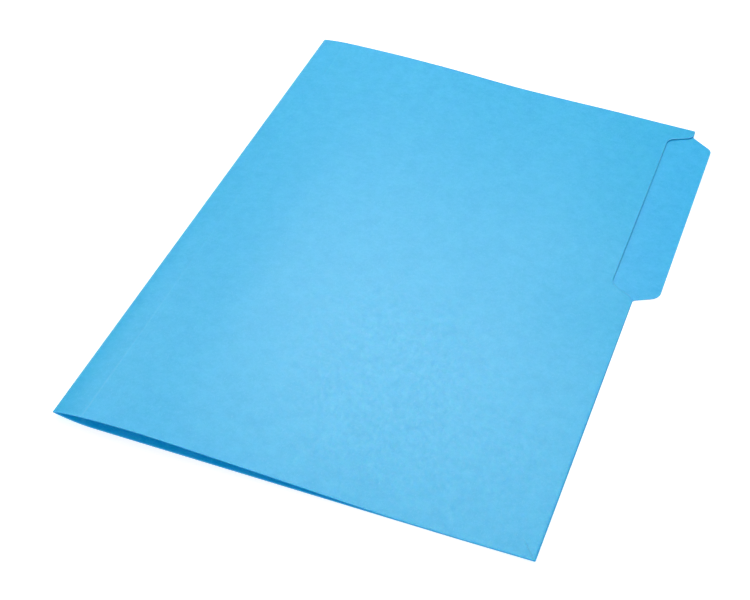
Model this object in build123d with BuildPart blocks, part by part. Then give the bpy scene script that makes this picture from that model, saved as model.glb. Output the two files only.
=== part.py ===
from build123d import *

import os
from math import acos, atan2, cos, hypot, pi, degrees, radians, sin, tan

# A file folder with a half-cut tab: one sheet of card, scored on both sides of its fold and folded into a
# front and a back cover. It lies closed on its back cover: X runs from the fold to the tab, Y along the
# fold and Z up, and the origin is the middle of the floor under it. Millimetres and degrees.

# Sheet
sheet_length = 345.0  # along the fold
cover_width = 225.0  # from the fold to the back cover's free edge
front_setback = 0.5  # the front cover's free edge stops this far short of the back cover's
card = 0.3  # thickness of the card
spine_strip_width = 13.9  # from the fold to the score line on either side of it
fold_radius = 0.3  # outside of the bend, where the card lies double

# Way the folder lies when closed
back_strip_tilt = 11.0  # rise of the back strip from its score line to the fold
front_strip_tilt = 8.0  # rise of the front strip from the fold to its score line
front_cover_tilt = 3.3  # rise of the front cover where it leaves its score line
crest_radius = 400.0  # bow of the front cover beside its score line
landing_setback = 73.0  # from the front cover's free edge back to where it comes down
landing_radius = 600.0  # bow of the front cover where it comes down

# Tab of the back cover and notch of the front cover
tab_depth = 12.0  # beyond the back cover's free edge
tab_length = 154.0  # along its foot
tab_end_margin = 6.0  # from the tab's foot to the far end of the sheet
tab_corner_radius = 7.0
tab_foot_radius = 2.0
shoulder_run = 7.0  # how far a slanting shoulder runs along the edge
notch_depth = 12.7  # into the front cover from its free edge
notch_inset = 1.4  # the notch is this much shorter than the tab at each end
notch_corner_radius = 6.0
notch_ear_radius = 5.0

# Travel and clearances
spread_angle = 35.0  # how far the back strip stands up, beyond its rise when closed, as the spine spreads
cover_gap = 0.3  # between the two covers where the front one comes down
crease_gap = 0.1  # round each crease, so that the pieces turn freely

# Creases, as points of the profile (X, Z) in the middle of the card
fold_x = (fold_radius - cover_width - tab_depth) / 2
fold_z = card / 2 + spine_strip_width * sin(radians(back_strip_tilt))
fold = (fold_x, fold_z)
back_score = (fold_x + spine_strip_width * cos(radians(back_strip_tilt)), card / 2)
front_score = (
    fold_x + spine_strip_width * cos(radians(front_strip_tilt)),
    fold_z + spine_strip_width * sin(radians(front_strip_tilt)),
)

# As the spine spreads, the fold goes straight from one end of the back strip's arc to the other. Halfway it
# comes nearest to the back score line, so the back strip ends short of that place.
nearest_fold = spine_strip_width * cos(radians(spread_angle / 2))
back_strip_end = (
    back_score[0] - nearest_fold * cos(radians(back_strip_tilt)),
    back_score[1] + nearest_fold * sin(radians(back_strip_tilt)),
)

# Free edges, and the middle of the tab and the notch along them
back_edge = fold_x + cover_width
front_edge = back_edge - front_setback
tab_centre = sheet_length / 2 - tab_end_margin - tab_length / 2

# Front cover's profile: a crest beside the score line, a straight slope and a landing on the back cover
settled_height = card + cover_gap + card / 2
landing_corner = (front_edge - landing_setback, settled_height)
crest_start = radians(front_cover_tilt)
crest_centre = (
    front_score[0] + crest_radius * sin(crest_start),
    front_score[1] - crest_radius * cos(crest_start),
)
crest_top = crest_centre[1] + crest_radius + card
run = landing_corner[0] - crest_centre[0]
rise = landing_corner[1] - crest_centre[1]
slope = pi / 2 - atan2(rise, run) - acos(crest_radius / hypot(run, rise))
landing_reach = landing_radius * tan(slope / 2)
landing_start = (
    landing_corner[0] - landing_reach * cos(slope),
    landing_corner[1] + landing_reach * sin(slope),
)

# Plane halfway between the two strips, which both keep clear of near the fold
mitre_angle = (front_strip_tilt - back_strip_tilt) / 2
mitre_shift = (
    crease_gap / 2 * sin(radians(mitre_angle)),
    crease_gap / 2 * cos(radians(mitre_angle)),
)


def shoulder_points(edge, reach, length):
    """Corners of the tab (reach above zero) or the notch (below zero) on a free edge, near end first."""
    near_end = tab_centre - length / 2
    far_end = tab_centre + length / 2
    return [
        (edge, near_end),
        (edge + reach, near_end + shoulder_run),
        (edge + reach, far_end - shoulder_run),
        (edge, far_end),
    ]


os.makedirs("parts", exist_ok=True)

# Back cover, flat on the floor, hollowed at its score line and cut to the outline with the tab
with BuildPart() as back_cover:
    with BuildSketch() as back_outline:
        with BuildLine():
            Polyline(
                (back_score[0], -sheet_length / 2),
                (back_edge, -sheet_length / 2),
                *shoulder_points(back_edge, tab_depth, tab_length),
                (back_edge, sheet_length / 2),
                (back_score[0], sheet_length / 2),
                close=True,
            )
        make_face()
        fillet(back_outline.vertices().group_by(Axis.X)[1].sort_by(Axis.Y)[1:-1], tab_foot_radius)
        fillet(back_outline.vertices().group_by(Axis.X)[-1], tab_corner_radius)
    extrude(amount=card)
    with BuildSketch(Plane.XZ):
        with Locations(back_score):
            Circle(card / 2 + crease_gap)
    extrude(amount=sheet_length / 2, both=True, mode=Mode.SUBTRACT)
back_cover.part.label = "back_cover"

# Back strip, with a round edge in the back cover's hollow and a hollow edge towards the fold
with BuildPart() as back_spine_strip:
    with BuildSketch(Plane.XZ):
        with BuildLine():
            Line(back_score, back_strip_end)
        trace(line_width=card)
        with Locations(back_score):
            Circle(card / 2)
        with Locations(back_strip_end):
            Circle(fold_radius + crease_gap, mode=Mode.SUBTRACT)
        with Locations((fold[0] + mitre_shift[0], fold[1] - mitre_shift[1])):
            Rectangle(
                spine_strip_width,
                card,
                rotation=mitre_angle,
                align=(Align.MIN, Align.MIN),
                mode=Mode.SUBTRACT,
            )
    extrude(amount=sheet_length / 2, both=True)
back_spine_strip.part.label = "back_spine_strip"

# Bend at the fold
with BuildPart() as spine_fold:
    with BuildSketch(Plane.XZ):
        with Locations(fold):
            Circle(fold_radius)
    extrude(amount=sheet_length / 2, both=True)
spine_fold.part.label = "spine_fold"

# Front strip, bowed to run on into the front cover, with hollow edges round the fold and its score line
with BuildPart() as front_spine_strip:
    with BuildSketch(Plane.XZ):
        with BuildLine():
            TangentArc(front_score, fold, tangent=(-cos(crest_start), -sin(crest_start)))
        trace(line_width=card)
        with Locations(front_score):
            Circle(card / 2 + crease_gap, mode=Mode.SUBTRACT)
        with Locations(fold):
            Circle(fold_radius + crease_gap, mode=Mode.SUBTRACT)
        with Locations((fold[0] - mitre_shift[0], fold[1] + mitre_shift[1])):
            Rectangle(
                spine_strip_width,
                card,
                rotation=mitre_angle,
                align=(Align.MIN, Align.MAX),
                mode=Mode.SUBTRACT,
            )
    extrude(amount=sheet_length / 2, both=True)
front_spine_strip.part.label = "front_spine_strip"

# Front cover, bowed along its profile, with a round edge at its score line, cut to the outline with the notch
with BuildPart() as front_cover:
    with BuildSketch(Plane.XZ):
        with BuildLine():
            crest = JernArc(
                front_score,
                (cos(crest_start), sin(crest_start)),
                crest_radius,
                -degrees(crest_start + slope),
            )
            descent = Line(crest @ 1, landing_start)
            landing = JernArc(descent @ 1, descent % 1, landing_radius, degrees(slope))
            Line(landing @ 1, (front_edge, settled_height))
        trace(line_width=card)
        with Locations(front_score):
            Circle(card / 2)
    extrude(amount=sheet_length / 2, both=True)
    with BuildSketch() as front_outline:
        with BuildLine():
            Polyline(
                (fold_x, -sheet_length / 2),
                (front_edge, -sheet_length / 2),
                *shoulder_points(front_edge, -notch_depth, tab_length - 2 * notch_inset),
                (front_edge, sheet_length / 2),
                (fold_x, sheet_length / 2),
                close=True,
            )
        make_face()
        fillet(front_outline.vertices().group_by(Axis.X)[1], notch_corner_radius)
        fillet(front_outline.vertices().group_by(Axis.X)[-1].sort_by(Axis.Y)[1:-1], notch_ear_radius)
    extrude(amount=crest_top, mode=Mode.INTERSECT)
front_cover.part.label = "front_cover"

for piece in (back_cover, back_spine_strip, spine_fold, front_spine_strip, front_cover):
    export_step(piece.part, f"parts/{piece.part.label}.step")
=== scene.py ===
"""A blue card file folder with a half-cut index tab, lying closed in a white studio.

The folder is one sheet of card. Its front leaf and its back leaf are each modelled flat as a die-cut blank,
given their outline and grid, and then bowed, thickened and dressed. The bend at the fold is a narrow roll
between them. Lengths are in metres and angles in radians unless a docstring says otherwise. X runs from the
fold to the tab, Y along the fold and Z up.
"""

import logging
from dataclasses import dataclass, field
from enum import Enum
from math import acos, atan2, cos, hypot, pi, radians, sin, sqrt, tan
from typing import Callable

import bmesh
import bpy
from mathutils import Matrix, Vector


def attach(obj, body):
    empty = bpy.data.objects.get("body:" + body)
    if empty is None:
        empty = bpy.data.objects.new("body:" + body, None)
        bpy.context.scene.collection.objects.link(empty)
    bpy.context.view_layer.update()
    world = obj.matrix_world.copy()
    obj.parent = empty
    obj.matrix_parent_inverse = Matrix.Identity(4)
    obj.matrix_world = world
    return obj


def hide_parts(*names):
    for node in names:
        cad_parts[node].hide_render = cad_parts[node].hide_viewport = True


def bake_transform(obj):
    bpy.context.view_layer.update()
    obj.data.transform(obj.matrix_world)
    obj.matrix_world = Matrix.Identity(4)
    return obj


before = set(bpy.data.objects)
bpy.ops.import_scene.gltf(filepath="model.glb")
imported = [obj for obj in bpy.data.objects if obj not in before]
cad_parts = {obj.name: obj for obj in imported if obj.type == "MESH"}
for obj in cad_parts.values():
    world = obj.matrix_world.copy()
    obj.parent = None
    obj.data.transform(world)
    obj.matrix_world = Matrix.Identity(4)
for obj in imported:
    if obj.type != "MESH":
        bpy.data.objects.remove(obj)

MM: float = 0.001
SAME_PLACE: float = 0.001 * MM
SLICE_TOLERANCE: float = 0.002 * MM
Colour = tuple[float, float, float, float]
Place = tuple[float, float, float]
Span = tuple[float, float]
Lifts = tuple[tuple[float, float], ...]
Socket = bpy.types.NodeSocket
WHITE: Colour = (1.0, 1.0, 1.0, 1.0)
log = logging.getLogger("folder")


class Mould(Enum):
    """Which way an edge is cut where the index tab is."""

    TAB = 1
    NOTCH = -1


class Skin(Enum):
    """Material slots of a card piece."""

    FACE = 0
    CUT = 1


class MixSocket(Enum):
    """Places of the colour sockets on a mix node, which share their names with its other sockets."""

    FIRST = 6
    SECOND = 7
    RESULT = 2


def tidy_selection() -> None:
    """Leave object mode's selection empty, so that an operator meets only what is added next."""
    if bpy.context.mode != "OBJECT":
        bpy.ops.object.mode_set(mode="OBJECT")
    bpy.ops.object.select_all(action="DESELECT")


def select_points(obj: bpy.types.Object, wanted: Callable[[Vector], bool]) -> None:
    """Select a mesh's points by their place, in edit mode.

    Args:
        obj: The object in edit mode.
        wanted: Test on a point's place.
    """
    bpy.ops.mesh.select_mode(type="VERT")
    bpy.ops.mesh.select_all(action="DESELECT")
    mesh = bmesh.from_edit_mesh(obj.data)
    for v in mesh.verts:
        if wanted(v.co):
            v.select_set(True)
    mesh.select_flush(True)
    bmesh.update_edit_mesh(obj.data)


def slice_mesh(place: Place, normal: Place) -> None:
    """Cut the mesh in edit mode along the plane through a place, square to a normal, and keep both sides."""
    bpy.ops.mesh.select_all(action="SELECT")
    bpy.ops.mesh.bisect(plane_co=place, plane_no=normal, threshold=SLICE_TOLERANCE)


def smooth_between(points: Lifts, at: float) -> float:
    """Read a height off a smooth curve through a row of (place, height) points.

    Args:
        points: Places in rising order, each with its height.
        at: The place to read.

    Returns:
        The height there; the first or last height outside the row.
    """
    if at <= points[0][0]:
        return points[0][1]
    padded = (points[0], *points, points[-1])
    for before, low, high, after in zip(padded, padded[1:], padded[2:], padded[3:]):
        if at <= high[0]:
            span = high[0] - low[0]
            share = (at - low[0]) / span
            leave = span * (high[1] - before[1]) / (high[0] - before[0])
            arrive = span * (after[1] - low[1]) / (after[0] - low[0])
            rise = high[1] - low[1]
            bend = leave + arrive - 2.0 * rise
            turn = 3.0 * rise - 2.0 * leave - arrive
            return low[1] + share * (leave + share * (turn + share * bend))
    return points[-1][1]


def ease_out(share: float) -> float:
    """Fall smoothly from 1 to 0 as a share goes from 0 to 1, level at both ends."""
    return (1.0 - share) ** 2 * (1.0 + 2.0 * share)


@dataclass(frozen=True)
class Grain:
    """How a noise texture is grained, with its scale in grains to the metre, about."""

    scale: float
    octaves: float
    roughness: float


@dataclass(frozen=True)
class Tooth:
    """How rough the fibres leave a surface, and how far they stand up from it."""

    smoothest: float
    roughest: float
    strength: float
    depth: float
    span: Span = (0.3, 0.7)


@dataclass(frozen=True)
class NodeBench:
    """A node tree, with short ways to add what the finishes need."""

    tree: bpy.types.NodeTree

    def add(self, kind: str, **inputs: object) -> bpy.types.Node:
        """Add a node and set its sockets.

        Args:
            kind: The node's type name without its common start.
            inputs: Socket names, spaces as underscores, with a value or the output socket to link.

        Returns:
            The new node.
        """
        node = self.tree.nodes.new("ShaderNode" + kind)
        for name, value in inputs.items():
            self.plug(value, node.inputs[name.replace("_", " ")])
        return node

    def plug(self, value: object, socket: Socket) -> None:
        """Set a socket, or link it where the value is an output socket.

        Args:
            value: A plain value or an output socket.
            socket: The socket it goes to.
        """
        if isinstance(value, Socket):
            self.tree.links.new(value, socket)
        else:
            socket.default_value = value

    def noise(self, place: Socket, grain: Grain) -> Socket:
        """Add a noise texture.

        Args:
            place: Coordinates to read.
            grain: How it is grained.

        Returns:
            The noise's value output.
        """
        node = self.add(
            "TexNoise",
            Vector=place,
            Scale=grain.scale,
            Detail=grain.octaves,
            Roughness=grain.roughness,
        )
        return node.outputs["Fac"]

    def stretch(self, value: Socket, span: Span, low: float, high: float) -> Socket:
        """Map a value from one range to another, without overshoot.

        Args:
            value: The value to map.
            span: Start and end of its range.
            low: What the start becomes.
            high: What the end becomes.

        Returns:
            The mapped value's output.
        """
        node = self.add("MapRange", Value=value, From_Min=span[0], From_Max=span[1], To_Min=low, To_Max=high)
        node.clamp = True
        return node.outputs["Result"]

    def times(self, first: Socket, second: Socket) -> Socket:
        """Multiply two values.

        Args:
            first: A value output.
            second: A value output.

        Returns:
            The product's output.
        """
        node = self.tree.nodes.new("ShaderNodeMath")
        node.operation = "MULTIPLY"
        self.tree.links.new(first, node.inputs[0])
        self.tree.links.new(second, node.inputs[1])
        return node.outputs[0]

    def mix(self, share: Socket, first: object, second: object) -> Socket:
        """Mix two colours.

        Args:
            share: How much of the second colour shows.
            first: A colour, or a colour output.
            second: A colour, or a colour output.

        Returns:
            The mixed colour's output.
        """
        node = self.tree.nodes.new("ShaderNodeMix")
        node.data_type = "RGBA"
        self.tree.links.new(share, node.inputs["Factor"])
        self.plug(first, node.inputs[MixSocket.FIRST.value])
        self.plug(second, node.inputs[MixSocket.SECOND.value])
        return node.outputs[MixSocket.RESULT.value]

    def roughen(self, shader: bpy.types.Node, fibre: Socket, tooth: Tooth) -> None:
        """Give a shader its roughness and its bump from the fibres.

        Args:
            shader: The Principled shader.
            fibre: The fibres' noise.
            tooth: How they show.
        """
        rough = self.stretch(fibre, tooth.span, tooth.smoothest, tooth.roughest)
        self.tree.links.new(rough, shader.inputs["Roughness"])
        bump = self.add("Bump", Height=fibre, Strength=tooth.strength, Distance=tooth.depth)
        self.tree.links.new(bump.outputs["Normal"], shader.inputs["Normal"])


def new_material(name: str) -> tuple[bpy.types.Material, NodeBench, bpy.types.Node]:
    """Start a material with an empty Principled shader.

    Args:
        name: The material's name.

    Returns:
        The material, its node bench and its shader node.
    """
    material = bpy.data.materials.new(name)
    material.use_nodes = True
    bench = NodeBench(material.node_tree)
    return material, bench, material.node_tree.nodes["Principled BSDF"]


@dataclass(frozen=True)
class CardFinish:
    """Uncoated dyed card: cloudy, with fibres along the sheet, pale flecks, wear on the creases and a pale
    band along the cut edges that is partly edge wear and partly painted highlight.
    """

    deep: Colour = (0.001, 0.343, 0.625, 1.0)
    light: Colour = (0.018, 0.394, 0.688, 1.0)
    fleck: Colour = (0.042, 0.425, 0.713, 1.0)
    # Pale tone for crease wear, laid also along every cut edge as a painted highlight.
    wear_and_highlight: Colour = (0.110, 0.500, 0.760, 1.0)
    cloud_grain: Grain = Grain(scale=150.0, octaves=4.0, roughness=0.95)
    cloud_span: Span = (0.36, 0.64)
    fibre_grain: Grain = Grain(scale=850.0, octaves=4.0, roughness=0.65)
    fibre_run: float = 0.4
    fleck_grain: Grain = Grain(scale=1900.0, octaves=2.0, roughness=0.5)
    fleck_span: Span = (0.58, 0.72)
    fleck_most: float = 0.55
    wear_span: Span = (0.35, 0.65)
    wear_least: float = 0.45
    tooth: Tooth = Tooth(smoothest=0.30, roughest=0.39, strength=0.10, depth=0.06 * MM)
    gloss: float = 0.25
    sheen: Colour = (0.83, 1.0, 1.0, 1.0)
    glow: float = 0.5
    glow_reach: float = 0.6 * MM
    glow_tint: tuple[float, float, float] = (0.03, 0.35, 1.0)

    def build(self) -> bpy.types.Material:
        """Make the card's material.

        Returns:
            The material, for the faces of every card piece.
        """
        material, bench, shader = new_material("blue_card")
        place = bench.tree.nodes.new("ShaderNodeTexCoord").outputs["Object"]
        along = bench.add("Mapping", Vector=place, Scale=(1.0, self.fibre_run, 1.0)).outputs["Vector"]
        cloud = bench.noise(place, self.cloud_grain)
        fibre = bench.noise(along, self.fibre_grain)
        fleck = bench.stretch(bench.noise(along, self.fleck_grain), self.fleck_span, 0.0, self.fleck_most)
        ground = bench.mix(bench.stretch(cloud, self.cloud_span, 0.0, 1.0), self.deep, self.light)
        flecked = bench.mix(fleck, ground, self.fleck)
        # This mark is crease wear and, along the outline, a painted highlight on the cut edges.
        wear = bench.tree.nodes.new("ShaderNodeAttribute")
        wear.attribute_name = "wear_and_highlight"
        patches = bench.stretch(fibre, self.wear_span, self.wear_least, 1.0)
        rubbed_and_lit = bench.times(wear.outputs["Fac"], patches)
        bench.tree.links.new(bench.mix(rubbed_and_lit, flecked, self.wear_and_highlight), shader.inputs["Base Color"])
        bench.roughen(shader, fibre, self.tooth)
        shader.inputs["Specular IOR Level"].default_value = self.gloss
        shader.inputs["Specular Tint"].default_value = self.sheen
        shader.inputs["Subsurface Weight"].default_value = self.glow
        shader.inputs["Subsurface Scale"].default_value = self.glow_reach
        shader.inputs["Subsurface Radius"].default_value = self.glow_tint
        return material


@dataclass(frozen=True)
class CutEdgeFinish:
    """The card's cut edge, with ragged fibres along the cut; both its tones are painted darker than the
    faces, as painted shade on the edge and in the gaps beside it.
    """

    # Painted shade: these tones are set darker than the card so that the cut edges and the gaps beside them
    # read as shaded.
    shade_painted_core: Colour = (0.006, 0.190, 0.400, 1.0)
    shade_painted_torn: Colour = (0.035, 0.270, 0.490, 1.0)
    fibre_grain: Grain = Grain(scale=2400.0, octaves=3.0, roughness=0.6)
    torn_span: Span = (0.35, 0.7)
    tooth: Tooth = Tooth(smoothest=0.70, roughest=0.88, strength=0.25, depth=0.05 * MM)
    gloss: float = 0.25

    def build(self) -> bpy.types.Material:
        """Make the cut edge's material.

        Returns:
            The material, for the rim of every card piece.
        """
        material, bench, shader = new_material("blue_card_cut")
        place = bench.tree.nodes.new("ShaderNodeTexCoord").outputs["Object"]
        fibre = bench.noise(place, self.fibre_grain)
        tone = bench.mix(bench.stretch(fibre, self.torn_span, 0.0, 1.0), self.shade_painted_core, self.shade_painted_torn)
        bench.tree.links.new(tone, shader.inputs["Base Color"])
        bench.roughen(shader, fibre, self.tooth)
        shader.inputs["Specular IOR Level"].default_value = self.gloss
        return material


@dataclass(frozen=True)
class FloorFinish:
    """Matt white light table with a faint unevenness."""

    bright: Colour = (0.74, 0.74, 0.74, 1.0)
    shade: Colour = (0.725, 0.725, 0.725, 1.0)
    grain: Grain = Grain(scale=3.0, octaves=2.0, roughness=0.5)
    roughness: float = 0.9
    gloss: float = 0.1
    glow: float = 0.50

    def build(self) -> bpy.types.Material:
        """Make the floor's material.

        Returns:
            The material.
        """
        material, bench, shader = new_material("studio_board")
        place = bench.tree.nodes.new("ShaderNodeTexCoord").outputs["Object"]
        tone = bench.mix(bench.noise(place, self.grain), self.bright, self.shade)
        bench.tree.links.new(tone, shader.inputs["Base Color"])
        shader.inputs["Roughness"].default_value = self.roughness
        shader.inputs["Specular IOR Level"].default_value = self.gloss
        shader.inputs["Emission Color"].default_value = WHITE
        shader.inputs["Emission Strength"].default_value = self.glow
        return material


@dataclass(frozen=True)
class SheetPlan:
    """Sizes of the whole sheet that its pieces share, and how finely they are divided and rounded."""

    length: float = 345.0 * MM
    cover_width: float = 225.0 * MM
    front_setback: float = 0.5 * MM
    card: float = 0.3 * MM
    strip_width: float = 13.9 * MM
    fold_radius: float = 0.3 * MM
    fold_clearance: float = 0.13 * MM
    back_tilt: float = radians(11.0)
    front_tilt: float = radians(8.0)
    tab_depth: float = 12.0 * MM
    tab_length: float = 154.0 * MM
    tab_end_margin: float = 6.0 * MM
    shoulder_run: float = 7.0 * MM
    notch_depth: float = 12.7 * MM
    notch_inset: float = 1.4 * MM
    edge_band: float = 0.7 * MM
    edge_round: float = 0.045 * MM
    edge_angle: float = radians(60.0)
    smooth_angle: float = radians(40.0)
    row_step: float = 11.5 * MM

    @property
    def fold_x(self) -> float:
        """Place of the fold across the sheet."""
        return (self.fold_radius - self.cover_width - self.tab_depth) / 2.0

    @property
    def fold_z(self) -> float:
        """Height of the middle of the bend."""
        return self.card / 2.0 + self.strip_width * sin(self.back_tilt)

    @property
    def back_edge(self) -> float:
        """Place of the back leaf's free edge."""
        return self.fold_x + self.cover_width

    @property
    def back_score(self) -> tuple[float, float]:
        """Place and height of the back score line."""
        return self.fold_x + self.strip_width * cos(self.back_tilt), self.card / 2.0

    @property
    def front_score(self) -> tuple[float, float]:
        """Place and height of the front score line."""
        return (
            self.fold_x + self.strip_width * cos(self.front_tilt),
            self.fold_z + self.strip_width * sin(self.front_tilt),
        )

    @property
    def tab_centre(self) -> float:
        """Place of the tab's middle along the free edge."""
        return self.length / 2.0 - self.tab_end_margin - self.tab_length / 2.0

    def far_share(self, y: float) -> float:
        """How far along the fold a point is, from 0 at the near end to 1 at the far end."""
        return y / self.length + 0.5

    def slice_rows(self) -> None:
        """Divide the piece in edit mode into rows along the fold."""
        rows = round(self.length / self.row_step)
        for row in range(1, rows):
            slice_mesh((0.0, (row / rows - 0.5) * self.length, 0.0), (0.0, 1.0, 0.0))

    def break_edges(self, obj: bpy.types.Object) -> None:
        """Take the sharpness off a piece's cut edges and shade it smooth.

        Args:
            obj: The piece, active and in object mode.
        """
        arris = obj.modifiers.new("arris", "BEVEL")
        arris.limit_method = "ANGLE"
        arris.angle_limit = self.edge_angle
        arris.width = self.edge_round
        arris.segments = 2
        bpy.ops.object.modifier_apply(modifier=arris.name)
        bpy.ops.object.shade_smooth_by_angle(angle=self.smooth_angle)


@dataclass
class Leaf:
    """One leaf of the folder: a die-cut blank that is gridded, bowed and thickened."""

    plan: SheetPlan
    name: str
    edge: float
    mould: Mould
    reach: float
    cut_length: float
    foot_radius: float
    near_radius: float
    far_radius: float
    far_run: float
    columns: tuple[float, ...]
    corner_cut: float = 0.5 * MM
    corner_steps: int = 3
    round_steps: int = 7
    obj: bpy.types.Object | None = field(default=None, init=False)

    def height(self, x: float, y: float) -> float:
        """Height of the middle of the card over the floor, at a place of the blank."""
        raise NotImplementedError

    def slip(self, x: float, y: float) -> float:
        """How far a place of the blank moves across the fold, where the leaf was folded out of true."""
        return 0.0

    def wear(self, x: float, y: float) -> float:
        """How much wear the card has at a place away from its edges, from 0 to 1."""
        return 0.0

    def add_blank(self) -> None:
        """Lay down a plain rectangle of card from the fold to the free edge."""
        tidy_selection()
        start = self.plan.fold_x + self.plan.fold_clearance
        bpy.ops.mesh.primitive_plane_add(size=1.0, location=((start + self.edge) / 2.0, 0.0, 0.0))
        self.obj = bpy.context.object
        self.obj.name = self.name
        self.obj.data.name = self.name
        self.obj.scale = (self.edge - start, self.plan.length, 1.0)
        bpy.ops.object.transform_apply(location=True, rotation=True, scale=True)

    def shoulder_points(self) -> list[tuple[float, float]]:
        """Lay out the tab or the notch on the free edge.

        Returns:
            The places of its corners, near end first.
        """
        near = self.plan.tab_centre - self.cut_length / 2.0
        far = self.plan.tab_centre + self.cut_length / 2.0
        out = self.edge + self.mould.value * self.reach
        near_run = self.plan.shoulder_run
        return [(self.edge, near), (out, near + near_run), (out, far - self.far_run), (self.edge, far)]

    def cut_outline(self) -> None:
        """Divide the free edge, pull it out or in to the tab's shape and round its corners."""
        select_points(self.obj, lambda p: abs(p.x - self.edge) < SAME_PLACE)
        corners = self.shoulder_points()
        bpy.ops.mesh.subdivide(number_cuts=len(corners))
        step = self.plan.length / (len(corners) + 1)
        for place, (x, y) in enumerate(corners):
            start = -self.plan.length / 2.0 + step * (place + 1)
            self.select_corner(self.edge, start)
            bpy.ops.transform.translate(value=(x - self.edge, y - start, 0.0))
        near_turn = atan2(self.reach, self.plan.shoulder_run)
        far_turn = atan2(self.reach, self.far_run)
        turns = (near_turn, near_turn, far_turn, far_turn)
        radii = (self.foot_radius, self.near_radius, self.far_radius, self.foot_radius)
        for (x, y), turn, radius in zip(corners, turns, radii):
            self.round_corner(x, y, radius * tan(turn / 2.0), self.round_steps)
        for y in (-self.plan.length / 2.0, self.plan.length / 2.0):
            self.round_corner(self.edge, y, self.corner_cut, self.corner_steps)

    def select_corner(self, x: float, y: float) -> None:
        """Select the one point of the flat outline at a place."""
        select_points(self.obj, lambda p: abs(p.x - x) < SAME_PLACE and abs(p.y - y) < SAME_PLACE)

    def round_corner(self, x: float, y: float, run: float, steps: int) -> None:
        """Round the outline's corner at a place, over a run along each side and in so many steps."""
        self.select_corner(x, y)
        bpy.ops.mesh.bevel(affect="VERTICES", offset_type="ABSOLUTE", offset=run, segments=steps)

    def cut_grid(self) -> None:
        """Mark a narrow band along the outline and divide the blank into columns and rows."""
        bpy.ops.mesh.select_all(action="SELECT")
        bpy.ops.mesh.inset(thickness=self.plan.edge_band, depth=0.0)
        for x in self.columns:
            slice_mesh((x, 0.0, 0.0), (1.0, 0.0, 0.0))
        self.plan.slice_rows()

    def bow(self) -> None:
        """Lift every point to its height, slip it across and mark its wear from its place in the blank;
        outline points are marked in full, partly as edge wear and partly as a painted highlight.
        """
        mesh = bmesh.from_edit_mesh(self.obj.data)
        wear_and_highlight = mesh.verts.layers.float.new("wear_and_highlight")
        for v in mesh.verts:
            x, y = v.co.x, v.co.y
            # Outline points get the full pale mark: partly edge wear, partly a painted highlight where the
            # cut edge catches light.
            v[wear_and_highlight] = 1.0 if v.is_boundary else self.wear(x, y)
            v.co = Vector((x + self.slip(x, y), y, self.height(x, y)))
        bmesh.update_edit_mesh(self.obj.data)
        bpy.ops.mesh.select_all(action="SELECT")
        bpy.ops.mesh.normals_make_consistent(inside=False)
        bpy.ops.object.mode_set(mode="OBJECT")
        if self.obj.data.polygons[0].normal.z < 0.0:
            self.obj.data.flip_normals()

    def thicken(self) -> None:
        """Give the leaf the card's thickness, break its cut edges and shade it smooth."""
        shell = self.obj.modifiers.new("card", "SOLIDIFY")
        shell.thickness = self.plan.card
        shell.offset = 0.0
        shell.use_even_offset = True
        shell.material_offset_rim = Skin.CUT.value
        bpy.ops.object.modifier_apply(modifier=shell.name)
        self.plan.break_edges(self.obj)

    def dress(self, face: bpy.types.Material, cut: bpy.types.Material) -> None:
        """Put the card's two materials on the leaf, its face first and then its cut edge."""
        self.obj.data.materials.append(face)
        self.obj.data.materials.append(cut)

    def build(self, face: bpy.types.Material, cut: bpy.types.Material) -> bpy.types.Object:
        """Model and dress the leaf.

        Args:
            face: The card's face.
            cut: The card's cut edge.

        Returns:
            The finished leaf.
        """
        self.add_blank()
        self.dress(face, cut)
        bpy.ops.object.mode_set(mode="EDIT")
        self.cut_outline()
        self.cut_grid()
        self.bow()
        self.thicken()
        return self.obj


@dataclass(frozen=True)
class Dip:
    """A place where the front leaf's free edge sinks on to the back leaf."""

    along: float = 10.0 * MM
    half: float = 50.0 * MM
    inward: float = 95.0 * MM
    fall: float = 0.45 * MM

    def depth(self, y: float, from_edge: float) -> float:
        """How far the leaf sinks at a place.

        Args:
            y: Place along the free edge.
            from_edge: How far the place is from the free edge.

        Returns:
            The depth.
        """
        aside = min(abs(y - self.along) / self.half, 1.0)
        behind = min(max(from_edge / self.inward, 0.0), 1.0)
        return self.fall * (1.0 - aside**2) ** 2 * ease_out(behind)


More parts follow.
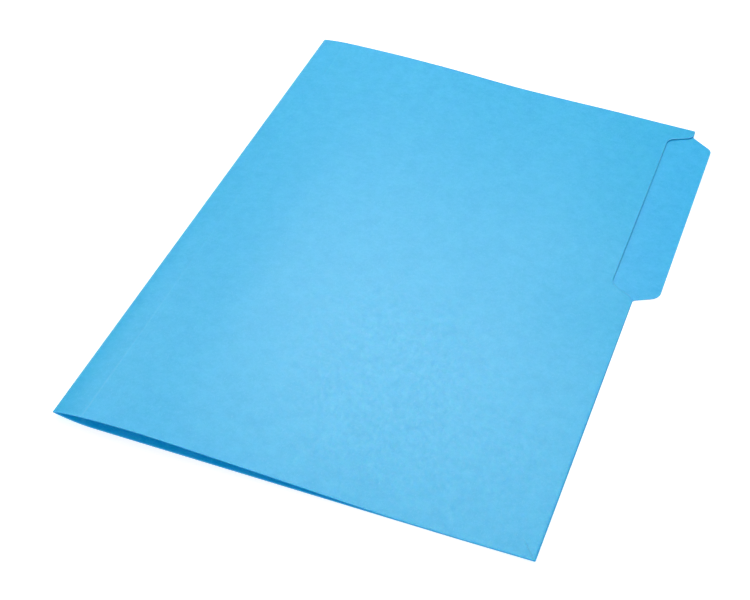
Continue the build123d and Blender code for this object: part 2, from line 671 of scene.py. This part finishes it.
@dataclass
class FrontLeaf(Leaf):
    """Front strip and front cover: up from the fold, over a crest and down on the back leaf, with a notch.

    The lifts are the warp of its near and far edges, in millimetres at places in millimetres from the fold.
    """

    cover_tilt: float = radians(3.3)
    crest_radius: float = 400.0 * MM
    landing_setback: float = 73.0 * MM
    landing_radius: float = 600.0 * MM
    cover_gap: float = 0.15 * MM
    overhang: float = 0.3 * MM
    overhang_run: float = 0.9
    dip: Dip = Dip()
    score_ridge: float = 0.05 * MM
    score_half: float = 0.7 * MM
    score_wear: float = 0.42
    score_fade: float = 0.42
    near_lift: Lifts = (
        (0.0, 0.0),
        (14.0, 0.0),
        (60.0, 0.27),
        (110.0, 0.50),
        (140.0, 0.40),
        (172.0, 0.04),
        (200.0, 0.04),
        (225.0, 0.40),
    )
    far_lift: Lifts = (
        (0.0, 0.0),
        (20.0, -0.65),
        (40.0, -0.85),
        (80.0, -0.05),
        (118.0, -0.02),
        (145.0, 0.85),
        (170.0, 1.25),
        (205.0, 0.90),
        (225.0, 0.78),
    )

    @classmethod
    def cut(cls, plan: SheetPlan) -> "FrontLeaf":
        """Lay out the front leaf on a sheet.

        Args:
            plan: The sheet's sizes.

        Returns:
            The leaf, ready to build.
        """
        from_score = (-3.0, -1.2, -0.7, -0.35, 0.0, 0.35, 0.7, 1.2, 3.0)
        from_fold = (3.0, 6.5, *range(20, 62, 4), *range(66, 222, 6))
        crease = [plan.front_score[0] + u * MM for u in from_score]
        spread = [plan.fold_x + u * MM for u in from_fold]
        return cls(
            plan=plan,
            name="front_leaf",
            edge=plan.back_edge - plan.front_setback,
            mould=Mould.NOTCH,
            reach=plan.notch_depth,
            cut_length=plan.tab_length - 2.0 * plan.notch_inset,
            foot_radius=5.0 * MM,
            near_radius=6.0 * MM,
            far_radius=6.0 * MM,
            far_run=plan.shoulder_run,
            columns=tuple(sorted(crease + spread)),
        )

    def profile(self, x: float) -> float:
        """Height of the middle of the card on the folder's own line, before its warp.

        Args:
            x: Place across the sheet.

        Returns:
            The height.
        """
        plan = self.plan
        score_x, score_z = plan.front_score
        if x <= score_x:
            run = score_x - plan.fold_x
            rise = score_z - plan.fold_z - plan.card / 2.0
            back = (score_x - x) / run
            leave = run * tan(self.cover_tilt)
            return score_z - back * (leave + back * (rise - leave))
        centre_x = score_x + self.crest_radius * sin(self.cover_tilt)
        centre_z = score_z - self.crest_radius * cos(self.cover_tilt)
        settled = plan.card + self.cover_gap + plan.card / 2.0
        corner_x = self.edge - self.landing_setback
        run, rise = corner_x - centre_x, settled - centre_z
        slope = pi / 2.0 - atan2(rise, run) - acos(self.crest_radius / hypot(run, rise))
        crest_end = centre_x + self.crest_radius * sin(slope)
        if x <= crest_end:
            return centre_z + sqrt(self.crest_radius**2 - (x - centre_x) ** 2)
        reach = self.landing_radius * tan(slope / 2.0)
        landing_x = corner_x - reach * cos(slope)
        if x <= landing_x:
            return settled + (corner_x - x) * tan(slope)
        rest_x = corner_x + reach
        if x <= rest_x:
            return settled + self.landing_radius - sqrt(self.landing_radius**2 - (rest_x - x) ** 2)
        return settled

    def height(self, x: float, y: float) -> float:
        """Height of the middle of the card, with the warp, the score line's ridge and the dip.

        Args:
            x: Place across the sheet.
            y: Place along the fold.

        Returns:
            The height.
        """
        u = (x - self.plan.fold_x) / MM
        share = self.plan.far_share(y)
        warp = (1.0 - share) * smooth_between(self.near_lift, u) + share * smooth_between(self.far_lift, u)
        ridge = self.score_ridge * ease_out(self.beside_score(x))
        return self.profile(x) + warp * MM + ridge - self.dip.depth(y, self.edge - x)

    def slip(self, x: float, y: float) -> float:
        """The free edge comes out towards the back leaf's, apart from the near corner, which stays short.

        Args:
            x: Place across the sheet.
            y: Place along the fold.

        Returns:
            How far the place moves towards the tab.
        """
        across = (x - self.plan.fold_x) / self.plan.cover_width
        short = max(1.0 - self.plan.far_share(y) / self.overhang_run, 0.0)
        return self.overhang * across * (1.0 - short**2)

    def beside_score(self, x: float) -> float:
        """How far a place is from the score line, from 0 on it to 1 beyond its ridge."""
        return min(abs(x - self.plan.front_score[0]) / self.score_half, 1.0)

    def wear(self, x: float, y: float) -> float:
        """The score line is painted paler, most of all at the near end, fading out part of the way along."""
        fade = max(0.0, 1.0 - self.plan.far_share(y) / self.score_fade)
        return (1.0 - self.beside_score(x)) * self.score_wear * fade


@dataclass
class BackLeaf(Leaf):
    """Back cover with the index tab, and the back strip that curves up to the fold.

    The lifts are the warp of its near and far edges, in millimetres at places in millimetres from the fold.
    """

    curl_reach: float = 19.0 * MM
    curl_power: float = 1.7
    score_half: float = 1.6 * MM
    score_wear: float = 0.25
    warp_power: int = 3
    near_lift: Lifts = ((0.0, 0.0), (185.0, 0.0), (225.0, 0.40), (240.0, 0.45))
    far_lift: Lifts = ((0.0, 0.0), (130.0, 0.0), (160.0, 0.20), (205.0, 0.62), (240.0, 0.78))

    @classmethod
    def cut(cls, plan: SheetPlan) -> "BackLeaf":
        """Lay out the back leaf on a sheet.

        Args:
            plan: The sheet's sizes.

        Returns:
            The leaf, ready to build.
        """
        curl = (2.0, 4.0, 6.0, 8.0, 10.0, 12.0, 13.6, 15.2, 17.0, 19.0, 22.0)
        spread = (*range(30, 222, 10), 230.0, 234.0)
        return cls(
            plan=plan,
            name="back_leaf",
            edge=plan.back_edge,
            mould=Mould.TAB,
            reach=plan.tab_depth,
            cut_length=plan.tab_length,
            foot_radius=2.0 * MM,
            near_radius=7.0 * MM,
            far_radius=4.5 * MM,
            far_run=8.6 * MM,
            columns=tuple(plan.fold_x + u * MM for u in (*curl, *spread)),
        )

    def height(self, x: float, y: float) -> float:
        """Height of the middle of the card: flat on the floor, curling up to the fold, with its warp.

        Args:
            x: Place across the sheet.
            y: Place along the fold.

        Returns:
            The height.
        """
        plan = self.plan
        along = x - plan.fold_x
        curl = max(0.0, 1.0 - along / self.curl_reach) ** self.curl_power
        share = plan.far_share(y)
        near = (1.0 - share) ** self.warp_power * max(smooth_between(self.near_lift, along / MM), 0.0)
        far = share**self.warp_power * max(smooth_between(self.far_lift, along / MM), 0.0)
        return plan.card / 2.0 + (plan.fold_z - plan.card) * curl + (near + far) * MM

    def wear(self, x: float, y: float) -> float:
        """The back score line is a little pale from wear."""
        return self.score_wear * max(0.0, 1.0 - abs(x - self.plan.back_score[0]) / self.score_half)


@dataclass
class FoldBend:
    """The bend of the card at the fold: a narrow roll, slightly uneven where it was creased by hand."""

    plan: SheetPlan
    name: str = "fold_bend"
    sides: int = 24
    unevenness: float = 0.04
    waves: float = 9.0
    outside_wear: float = 0.45
    end_facing: float = 0.9
    obj: bpy.types.Object | None = field(default=None, init=False)

    def build(self, face: bpy.types.Material, cut: bpy.types.Material) -> bpy.types.Object:
        """Model and dress the bend.

        Args:
            face: The card's face.
            cut: The card's cut edge, for the two ends.

        Returns:
            The finished bend.
        """
        plan = self.plan
        tidy_selection()
        bpy.ops.mesh.primitive_cylinder_add(
            vertices=self.sides,
            radius=plan.fold_radius,
            depth=plan.length,
            location=(plan.fold_x, 0.0, plan.fold_z),
            rotation=(pi / 2.0, 0.0, 0.0),
        )
        self.obj = bpy.context.object
        self.obj.name = self.name
        self.obj.data.name = self.name
        bpy.ops.object.transform_apply(location=True, rotation=True, scale=True)
        self.obj.data.materials.append(face)
        self.obj.data.materials.append(cut)
        bpy.ops.object.mode_set(mode="EDIT")
        plan.slice_rows()
        self.crease()
        plan.break_edges(self.obj)
        return self.obj

    def crease(self) -> None:
        """Squeeze the roll unevenly, mark the wear on its outside and give its two ends the cut edge."""
        plan = self.plan
        mesh = bmesh.from_edit_mesh(self.obj.data)
        wear_and_highlight = mesh.verts.layers.float.new("wear_and_highlight")
        for v in mesh.verts:
            out_x = v.co.x - plan.fold_x
            wave = 0.5 + 0.5 * sin(self.waves * 2.0 * pi * plan.far_share(v.co.y))
            v.co.x = plan.fold_x + out_x * (1.0 - self.unevenness * wave)
            v[wear_and_highlight] = self.outside_wear * max(0.0, -out_x / plan.fold_radius)
        for f in mesh.faces:
            at_end = abs(f.normal.y) > self.end_facing
            f.material_index = Skin.CUT.value if at_end else Skin.FACE.value
        bmesh.update_edit_mesh(self.obj.data)
        bpy.ops.object.mode_set(mode="OBJECT")


@dataclass(frozen=True)
class SoftBox:
    """A large square soft lamp, which may be kept from glaring on the card."""

    name: str
    place: Place
    size: float
    watts: float
    glares: bool = True

    def hang(self, aim: Place) -> bpy.types.Object:
        """Hang the lamp and turn it to what it lights.

        Args:
            aim: The place it faces.

        Returns:
            The lamp.
        """
        lamp = bpy.data.lights.new(self.name, "AREA")
        lamp.shape = "SQUARE"
        lamp.size = self.size
        lamp.energy = self.watts
        obj = bpy.data.objects.new(self.name, lamp)
        bpy.context.scene.collection.objects.link(obj)
        obj.location = self.place
        obj.visible_glossy = self.glares
        obj.rotation_euler = (Vector(aim) - Vector(self.place)).to_track_quat("-Z", "Y").to_euler()
        return obj


@dataclass(frozen=True)
class Surround:
    """Soft light from all round the studio, as bright as the floor where the two meet, so no horizon shows.

    The horizon's top and the foot of the overhead light are sines of their angles above the floor.
    """

    overhead: float = 0.48
    horizon: float = 0.92
    horizon_top: float = 0.12
    overhead_foot: float = 0.45

    def build(self) -> bpy.types.World:
        """Make the surroundings.

        Returns:
            The world, for the scene.
        """
        world = bpy.data.worlds.new("studio")
        world.use_nodes = True
        bench = NodeBench(world.node_tree)
        toward = bench.tree.nodes.new("ShaderNodeTexCoord").outputs["Generated"]
        rise = bench.add("SeparateXYZ", Vector=toward).outputs["Z"]
        span = (self.horizon_top, self.overhead_foot)
        strength = bench.stretch(rise, span, self.horizon, self.overhead)
        background = bench.tree.nodes["Background"]
        background.inputs["Color"].default_value = WHITE
        bench.tree.links.new(strength, background.inputs["Strength"])
        return world


@dataclass(frozen=True)
class Studio:
    """White floor, soft surroundings, a bank of light in front of the folder and three lamps behind it."""

    floor_size: float = 60.0
    floor_drop: float = 0.05 * MM
    floor_cuts: int = 4
    surround: Surround = Surround()
    middle: Place = (0.0, -0.09, 0.0)
    front: Place = (0.75, -3.02, 1.80)
    lamps: tuple[SoftBox, ...] = (
        SoftBox("front_bank", front, 2.4, 59.0, glares=False),
        SoftBox("front_sheen", front, 2.4, 18.0),
        SoftBox("back_bank", (-1.45, 2.78, 1.50), 1.2, 4.0),
        SoftBox("far_soft_box", (-0.265, 1.155, 1.275), 0.48, 11.6),
        SoftBox("left_soft_box", (-0.728, 0.777, 0.984), 0.40, 3.8),
    )

    def build(self, finish: FloorFinish) -> None:
        """Lay the floor, light the surroundings and hang the lamps.

        Args:
            finish: The floor's finish.
        """
        tidy_selection()
        bpy.ops.mesh.primitive_plane_add(size=self.floor_size, location=(0.0, 0.0, -self.floor_drop))
        floor = bpy.context.object
        floor.name = "studio_floor"
        bpy.ops.object.transform_apply(location=True, rotation=True, scale=True)
        bpy.ops.object.mode_set(mode="EDIT")
        bpy.ops.mesh.select_all(action="SELECT")
        bpy.ops.mesh.subdivide(number_cuts=self.floor_cuts)
        bpy.ops.object.mode_set(mode="OBJECT")
        floor.data.materials.append(finish.build())
        bpy.context.scene.world = self.surround.build()
        for lamp in self.lamps:
            lamp.hang(self.middle)
        bpy.context.scene.view_settings.view_transform = "Standard"


@dataclass(frozen=True)
class PhotoCamera:
    """A long lens over the near right corner, looking along the fold, with its turn in degrees."""

    place: Place = (0.1707, -0.6584, 0.5462)
    turn: tuple[float, float, float] = (49.72, -3.50, 19.40)
    lens: float = 82.4
    sensor: float = 36.0

    def set_up(self) -> None:
        """Place the camera and make it the scene's."""
        lens = bpy.data.cameras.new("photo_camera")
        lens.sensor_fit = "HORIZONTAL"
        lens.sensor_width = self.sensor
        lens.lens = self.lens
        camera = bpy.data.objects.new("photo_camera", lens)
        bpy.context.scene.collection.objects.link(camera)
        camera.location = self.place
        camera.rotation_euler = tuple(radians(angle) for angle in self.turn)
        bpy.context.scene.camera = camera


def report(obj: bpy.types.Object) -> None:
    """Log a finished piece's name and size."""
    log.info("%s: %d points, %d faces", obj.name, len(obj.data.vertices), len(obj.data.polygons))


def main() -> None:
    """Build the folder's pieces, hide the imported parts they replace, attach the bend to its body, and set
    up the studio and the camera.
    """
    logging.basicConfig(level=logging.INFO, format="%(name)s: %(message)s")
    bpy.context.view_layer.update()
    plan = SheetPlan()
    face, cut = CardFinish().build(), CutEdgeFinish().build()

    back = BackLeaf.cut(plan).build(face, cut)
    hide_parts("back_cover", "back_spine_strip")
    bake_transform(back)
    report(back)

    bend = FoldBend(plan).build(face, cut)
    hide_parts("spine_fold")
    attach(bend, "spine_fold")
    report(bend)

    front = FrontLeaf.cut(plan).build(face, cut)
    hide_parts("front_spine_strip", "front_cover")
    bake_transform(front)
    report(front)

    Studio().build(FloorFinish())
    PhotoCamera().set_up()


if __name__ == "__main__":
    main()
